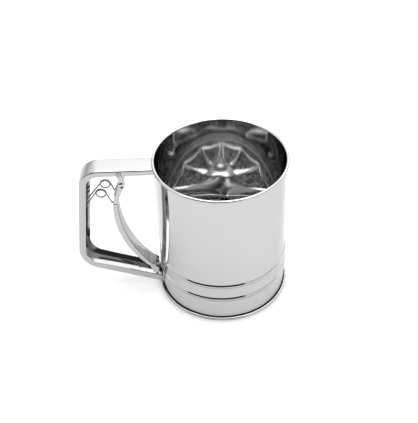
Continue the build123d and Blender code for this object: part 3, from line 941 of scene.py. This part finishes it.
trigger_rows = []
for i in range(TRIGGER_STEPS + 1):
    height = WEB_TOP + (WEB_FOOT - WEB_TOP) * i / TRIGGER_STEPS
    rise = height - WEB_CENTRE.y
    outward = Vector((-math.sqrt(WEB_R**2 - rise**2), rise)).normalized()
    depth = flange_depth(outward, height)
    row = []
    for across, deep in channel_section(trigger_half(height), depth, TRIGGER_SHEET, TRIGGER_BEND):
        flat = WEB_CENTRE + outward * (WEB_R + deep)
        row.append((flat.x, across, flat.y))
    trigger_rows.append(row)
print("trigger rows:", len(trigger_rows), "flange depth at the foot, mm:", round(depth, 2))

# %% [markdown]
# ## Trigger ears
# An ear is flat sheet, so its outline is drawn once, its corners are rounded, and it
# is given the sheet's thickness on each side of the trigger. Two faces that lie in the
# same place flicker in a render, so the ears stand a hair proud of the flanges.

# %% Trigger ears
PIVOT = Vector((-76.3, 116.7))
EAR_OUTLINE = [
    (-74.6, 116.9), (-74.7, 112.4), (-72.1, 105.5), (-74.6, 99.9), (-76.3, 96.8), (-78.3, 91.2),
    (-79.5, 86.0), (-83.2, 86.5), (-81.9, 92.0), (-79.7, 97.0), (-77.9, 105.7), (-77.6, 109.4),
    (-78.7, 113.2), (-78.4, 116.9),
]
EAR_CORNER = 1.6
CORNER_SHARE = 0.45
OVER = 0.03


def rounded(outline, radius, steps=5):
    """A closed outline with each corner eased by a short curve."""
    soft = []
    for i, corner in enumerate(outline):
        here = Vector(corner)
        before = Vector(outline[i - 1]) - here
        after = Vector(outline[(i + 1) % len(outline)]) - here
        reach = min(radius, before.length * CORNER_SHARE, after.length * CORNER_SHARE)
        leave = here + before.normalized() * reach
        join = here + after.normalized() * reach
        for k in range(steps + 1):
            t = k / steps
            soft.append(leave.lerp(here, t).lerp(here.lerp(join, t), t))
    return soft


def side_plate(outline, side, half):
    """A plate in line with one flange, a hair thicker than its sheet."""
    outer = side * (half + OVER)
    inner = side * (half - TRIGGER_SHEET - OVER)
    return [[(p.x, y, p.y) for p in outline] for y in (outer, inner)]


ear_line = rounded(EAR_OUTLINE, EAR_CORNER)
ear_plates = [side_plate(ear_line, side, TRIGGER_TOP_HALF) for side in (-1, 1)]
print("points round an ear:", len(ear_line))

# %% [markdown]
# ## The trigger's foot
# The rod needs room at the foot, so two cheeks carry the web on and leave a window
# between them and below them. The foot's side plates hold a flat tab, a short bridge
# with a hole for the rod's hook.

# %% Trigger foot
CHEEK_FOOT = 16.8
CHEEK_LEVELS = (CHEEK_FOOT, CHEEK_FOOT + 0.9, WEB_FOOT, WEB_FOOT + 1.2)
CHEEK_SHEET, CHEEK_SUNK, CHEEK_INSET = 0.65, 0.02, 0.4
WINDOW_HALF = 1.8
TAB_LOW, TAB_TOP = 12.6, 13.4
TAB_FROM, TAB_TO = -57.0, -52.5
TAB_HALF, TAB_CORNER = 6.9, 0.6
FOOT_CORNER_R = 0.5


def cheek(side):
    """One of the two strips beside the window, sunk a hair into the web's sheet."""
    rows = []
    for height in CHEEK_LEVELS:
        cup_side = web_x(height) - CHEEK_SUNK
        grip_side = web_x(height) - CHEEK_SHEET - CHEEK_SUNK
        reach = trigger_half(height) - CHEEK_INSET
        corners = (
            (cup_side, WINDOW_HALF), (cup_side, reach), (grip_side, reach), (grip_side, WINDOW_HALF),
        )
        rows.append([(x, side * y, height) for x, y in corners])
    return rows


cheeks = [cheek(side) for side in (-1, 1)]
tab_corners = [(TAB_FROM, -TAB_HALF), (TAB_FROM, TAB_HALF), (TAB_TO, TAB_HALF), (TAB_TO, -TAB_HALF)]
tab_line = rounded(tab_corners, TAB_CORNER)
tab = [[(p.x, p.y, z) for p in tab_line] for z in (TAB_LOW, TAB_TOP)]
foot_corners = [(-52.5, 17.2), (TAB_TO, TAB_LOW), (TAB_FROM, TAB_LOW), (-59.0, 19.4), (-55.5, 20.2)]
foot_line = rounded(foot_corners, FOOT_CORNER_R)
foot_plates = [side_plate(foot_line, side, TRIGGER_FOOT_HALF) for side in (-1, 1)]
print("parts of the foot:", len(cheeks) + 1 + len(foot_plates))

# %% [markdown]
# ## The trigger, put together and drilled
# The channel, ears, cheeks and foot are one pressed piece, so they go into one mesh.
# Then the hook's hole and the pivot's hole are cut. The ears were sheared from the
# sheet, and their narrow faces get a dark finish: painted shade on the sheet's edge.

# %% Trigger and its holes
HOOK_X, HOOK_HOLE, PIVOT_HOLE = -54.8, 1.45, 1.15
PIVOT_REACH = 8.0
SHADED_EDGE_ABOVE, SHADED_EDGE_FACING = WEB_TOP + 0.2, 0.4
trigger_skins = [trigger_rows] + cheeks + ear_plates + [tab] + foot_plates
trigger = piece("trigger", trigger_skins, "trigger", trigger_steel, crease=40)
hook_bore = bar(round_hole((HOOK_X, 0), HOOK_HOLE), TAB_LOW - 1, TAB_TOP + 1, 2)
pivot_bore = bar(round_hole(tuple(PIVOT), PIVOT_HOLE), -PIVOT_REACH, PIVOT_REACH, 1)
pierce(trigger, [hook_bore, pivot_bore], 40)
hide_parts("trigger_lever")
# Painted shade: the ears' narrow faces get the dark edge finish.
trigger.data.materials.append(painted_edge_shade)
for face in trigger.data.polygons:
    if face.center.z > SHADED_EDGE_ABOVE * MM and abs(face.normal.y) < SHADED_EDGE_FACING:
        face.material_index = 1

# %% [markdown]
# ## The dimple in the web
# A small round dimple stands out of the web near its foot. Half a ball would be too
# high, so it is a quarter of an ellipse turned round its own axis.

# %% Web dimple
DIMPLE_LEVEL, DIMPLE_Y = 35.6, 0.15
DIMPLE_R, DIMPLE_PROUD, DIMPLE_EYE = 1.1, 0.9, 0.02
DIMPLE_RINGS, DIMPLE_SIDES = 5, 16
dimple_at = Vector((web_x(DIMPLE_LEVEL), DIMPLE_LEVEL))
face_way = (WEB_CENTRE - dimple_at).normalized()
up_way = Vector((-face_way.y, face_way.x))
dimple_rows = []
for step in range(DIMPLE_RINGS + 1):
    bulge = math.pi / 2 * step / DIMPLE_RINGS
    reach = DIMPLE_R * math.cos(bulge) + DIMPLE_EYE
    ring = []
    for k in range(DIMPLE_SIDES):
        turn = 2 * math.pi * k / DIMPLE_SIDES
        proud = face_way * (DIMPLE_PROUD * math.sin(bulge))
        spot = dimple_at + proud + up_way * (reach * math.cos(turn))
        ring.append((spot.x, DIMPLE_Y + reach * math.sin(turn), spot.y))
    dimple_rows.append(ring)
dimple = piece("web_dimple", [dimple_rows], "trigger", fitting_steel, crease=60)

# %% [markdown]
# ## The marks on the ear
# The trigger's near ear has two short slots that look black. Nothing can be seen
# through them, so they are thin dark inlays on the ear's face and not holes: painted
# shade for the slots' dark insides.

# %% Ear slots
EAR_SLOTS = [((-77.3, 105.7), (-74.5, 106.2)), ((-76.1, 102.0), (-74.2, 102.7))]
EAR_SLOT_HALF, EAR_SLOT_CORNER = 0.75, 0.25
slot_levels = (TRIGGER_TOP_HALF + 2 * OVER, TRIGGER_TOP_HALF)
slot_rows = []
for ends in EAR_SLOTS:
    start, end = Vector(ends[0]), Vector(ends[1])
    side_way = Vector((-(end - start).y, (end - start).x)).normalized() * EAR_SLOT_HALF
    slot_corners = [start - side_way, end - side_way, end + side_way, start + side_way]
    outline = rounded(slot_corners, EAR_SLOT_CORNER)
    slot_rows.append([[(p.x, -y, p.y) for p in outline] for y in slot_levels])
ear_slots = piece("ear_slots", slot_rows, "trigger", painted_slot_shade, crease=30)

# %% [markdown]
# ## The return spring
# One length of spring wire makes the whole spring. It runs from a short hook on the
# trigger, a little over once round, down to the grip, across in a small U, and back up
# through a second turn to the other hook. A wire is a circle carried along a line,
# so the work is in the line: turns are worked out by a loop, and the legs leave the
# turns on their tangents.

# %% Spring wire
COIL = Vector((-90.3, 97.0))
COIL_SKEW, COIL_DROP = 1.1, 0.2
COIL_R = 3.7
COIL_OUTSIDE = 6.6
COIL_STEPS = 48
WIRE = 0.6
WIRE_SIDES = 12
TURN_PITCH = 1.5
GRIP_REST = Vector((-108.8, 1.9, 77.6))
GRIP_LEAN = 1.2
GRIP_LEAVE, TRIGGER_LEAVE = 149.0, 21.7
TRIGGER_LEG = 11.6
SMALL_U = ((0.97, 0.0), (1.0, 0.35), (1.0, 0.8))


def half_spring(side):
    """Points from the trigger's hook, round a little over one turn, to the grip."""
    leave = math.radians(TRIGGER_LEAVE)
    down = Vector((math.sin(leave), 0, -math.cos(leave)))
    middle = COIL + Vector((side * COIL_SKEW, side * -COIL_DROP))
    first_y = side * COIL_OUTSIDE

    def on_turn(degrees, y):
        turn = math.radians(degrees)
        return Vector((middle.x + COIL_R * math.cos(turn), y, middle.y + COIL_R * math.sin(turn)))

    root = on_turn(TRIGGER_LEAVE, first_y)
    hook = root + down * TRIGGER_LEG
    points = [hook + Vector((0.2, side * -1.6, -0.3)), hook + Vector((0, side * -0.8, 0))]
    points += [root + down * (TRIGGER_LEG * t) for t in (0.96, 0.7, 0.4, 0.15)]
    sweep = 360 + GRIP_LEAVE - TRIGGER_LEAVE
    for k in range(COIL_STEPS + 1):
        y = first_y - side * TURN_PITCH * k / COIL_STEPS
        points.append(on_turn(TRIGGER_LEAVE + sweep * k / COIL_STEPS, y))
    last = points[-1]
    target = Vector((GRIP_REST.x, side * GRIP_REST.y, GRIP_REST.z + side * GRIP_LEAN))
    points += [last.lerp(target, t) for t in (0.08, 0.3, 0.6, 0.9)]
    for reach, slide in SMALL_U:
        spot = last.lerp(target, reach)
        points.append(Vector((spot.x, spot.y - side * slide, spot.z)))
    return points


near_half, far_half = half_spring(-1), half_spring(1)
spring_rows = tube(near_half + far_half[::-1], WIRE, WIRE_SIDES)
spring = piece("return_spring", [spring_rows], None, spring_wire)
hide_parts("torsion_spring")
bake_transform(spring)

# %% [markdown]
# ## The floor
# The sifter stands on white paper. Paper alone would turn grey under soft light, so it
# glows a little, and the glow stops in a circle under the cup: a painted shadow, where
# the cup keeps the light off.

# %% Floor
GLOW_START, GLOW_END = 0.046, 0.056
FLOOR_GLOW = 0.62
FLOOR_HALF = 8.0
paper = new_finish("white_paper")
paper_tone = paper.node(
    "ShaderNodeMix", {"data_type": "RGBA"},
    {0: paper.noise(scale=3.0), 6: (0.44, 0.44, 0.44, 1.0), 7: (0.46, 0.46, 0.46, 1.0)}, output=2,
)
# Painted shadow: the glow fades out inside the cup's footprint.
from_cup = paper.node("ShaderNodeVectorMath", {"operation": "LENGTH"}, {0: paper.place()}, output=1)
glow = paper.node(
    "ShaderNodeMapRange", None, {"Value": from_cup, "From Min": GLOW_START, "From Max": GLOW_END},
)
white_paper = paper.surface(
    base_color=paper_tone, roughness=0.9, emission_color=glow, emission_strength=FLOOR_GLOW,
)
floor_mesh = bpy.data.meshes.new("floor")
floor_corners = [(x * FLOOR_HALF, y * FLOOR_HALF, 0) for x, y in ((-1, -1), (1, -1), (1, 1), (-1, 1))]
floor_mesh.from_pydata(floor_corners, [], [(0, 1, 2, 3)])
floor_mesh.materials.append(white_paper)
floor = bpy.data.objects.new("floor", floor_mesh)
bpy.context.scene.collection.objects.link(floor)
print("floor, metres across:", 2 * FLOOR_HALF)

# %% [markdown]
# ## The room
# What a mirror shows is the room, so the room is part of the finish: a bright tent all
# round, with a dark opening on the camera's side. The dark opening is what draws the
# fine dark lines along the beads. Walls could be built, but a world whose brightness
# depends on the direction does the same and renders faster.

# %% Room
world = bpy.data.worlds.new("tent")
bpy.context.scene.world = world
tent = Finish(world)
direction = tent.node("ShaderNodeTexCoord", output="Generated")
compass = tent.node("ShaderNodeSeparateXYZ", None, {0: direction})
east, north, height = (Signal(tent, socket) for socket in compass.socket.node.outputs)
flat_length = tent.node("ShaderNodeMath", {"operation": "SQRT"}, {0: 1 - height * height + 0.0001})


def soft_step(value, low, high):
    """Rises smoothly from 0 to 1 between two values."""
    settings = {"interpolation_type": "SMOOTHSTEP"}
    return tent.node("ShaderNodeMapRange", settings, {"Value": value, "From Min": low, "From Max": high})


DARK_HEADING = math.radians(-103.5)
OPENING_SIDES, OPENING_TOP = (0.655, 0.715), (0.90, 0.82)
BACK_NORTH, BACK_EAST, BACK_HEIGHT = (0.2, 0.35), (-0.75, -0.05), (0.30, 0.42)
WALL_LIGHT, CEILING_LIGHT, BACK_LIGHT = 0.74, 0.7, 1.0
OPENING_DEPTH = 0.93
facing = (east * math.cos(DARK_HEADING) + north * math.sin(DARK_HEADING)) / flat_length
opening = soft_step(facing, *OPENING_SIDES) * soft_step(height, *OPENING_TOP)
behind = soft_step(north, *BACK_NORTH) * soft_step(east / flat_length, *BACK_EAST)
panel_behind = behind * soft_step(height, *BACK_HEIGHT)
upwards = tent.node("ShaderNodeMath", {"operation": "MAXIMUM"}, {0: height, 1: 0.0})
sky = WALL_LIGHT + upwards * CEILING_LIGHT + panel_behind * BACK_LIGHT
room_light = sky * (1.0 - opening * OPENING_DEPTH)
backdrop = tent.node("ShaderNodeBackground", None, {"Color": (1, 1, 1, 1), "Strength": room_light})
tent.node_output(backdrop)
print("nodes of the room:", len(tent.tree.nodes))

# %% [markdown]
# ## The light
# One large soft panel hangs overhead, a little behind the sifter, so the wheel's
# ridges and the rim catch long highlights. A small lamp would give hard points of
# light, which polished sheet would repeat everywhere.


# %% Light
PANEL_AIM = Vector((0, 0, 0.06))


def soft_panel(name, place, size, watts):
    """A rectangular light that faces the middle of the sifter."""
    light = bpy.data.lights.new(name, "AREA")
    light.shape = "RECTANGLE"
    light.size, light.size_y = size
    light.energy = watts
    panel = bpy.data.objects.new(name, light)
    panel.location = place
    panel.rotation_euler = (PANEL_AIM - Vector(place)).to_track_quat("-Z", "Y").to_euler()
    bpy.context.scene.collection.objects.link(panel)
    return panel


panel_above = soft_panel("panel_above", place=(0.05, 0.12, 1.25), size=(1.1, 1.1), watts=9.5)
print("light:", panel_above.name, "at", [round(v, 2) for v in panel_above.location])

# %% [markdown]
# ## The camera
# The camera looks down at about forty degrees with a portrait lens, which keeps the
# cup's sides nearly parallel. It is placed by its own axes: which way is right, which
# way is up, and so which way is back. It leans sideways by a degree or two.

# %% Camera
EYE = Vector((-0.00986, -0.5339, 0.5300))
RIGHT = Vector((0.99936, -0.0233, -0.0271))
UP = Vector((0.0358, 0.6523, 0.7571))
LENS, SENSOR = 76.33, 36.0
camera_data = bpy.data.cameras.new("camera")
camera_data.lens = LENS
camera_data.sensor_width = SENSOR
camera = bpy.data.objects.new("camera", camera_data)
back = RIGHT.cross(UP)
basis = Matrix((RIGHT, UP, back)).transposed().to_4x4()
camera.matrix_world = Matrix.Translation(EYE) @ basis
bpy.context.scene.collection.objects.link(camera)
bpy.context.scene.camera = camera
bpy.context.scene.view_settings.view_transform = "Standard"
print("camera looks down, degrees:", round(math.degrees(math.asin(back.z)), 1))
